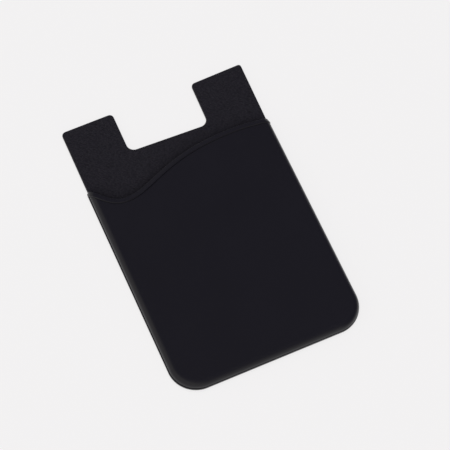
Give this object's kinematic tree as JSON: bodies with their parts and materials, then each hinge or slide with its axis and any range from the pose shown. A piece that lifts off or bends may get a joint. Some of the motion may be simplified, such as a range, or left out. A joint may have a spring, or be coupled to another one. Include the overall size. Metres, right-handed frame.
{
  "type": "stick-on card holder",
  "caption": "Flat silicone card pocket with a wave-shaped lipped mouth, two upright tabs with a finger notch between, and a self-adhesive back under a peel-off liner",
  "frame": {"origin": "on the table under the middle of the holder, at the bottom of the release liner", "axes": "+Z out of the pocket front, +Y along the length towards the two tabs, +X across to the right seen from the front"},
  "size_m": [0.0578, 0.0896, 0.0036],
  "materials": {
    "moulded_silicone": "matt moulded silicone, fine grain on the back panel, smooth on the pocket front",
    "acrylic_adhesive": "soft satin pressure-sensitive adhesive",
    "liner_film": "smooth satin siliconised liner"
  },
  "bodies": {
    "root": {"holder_sleeve": "moulded_silicone", "adhesive_sheet": "acrylic_adhesive", "release_liner": "liner_film"}
  },
  "joints": []
}
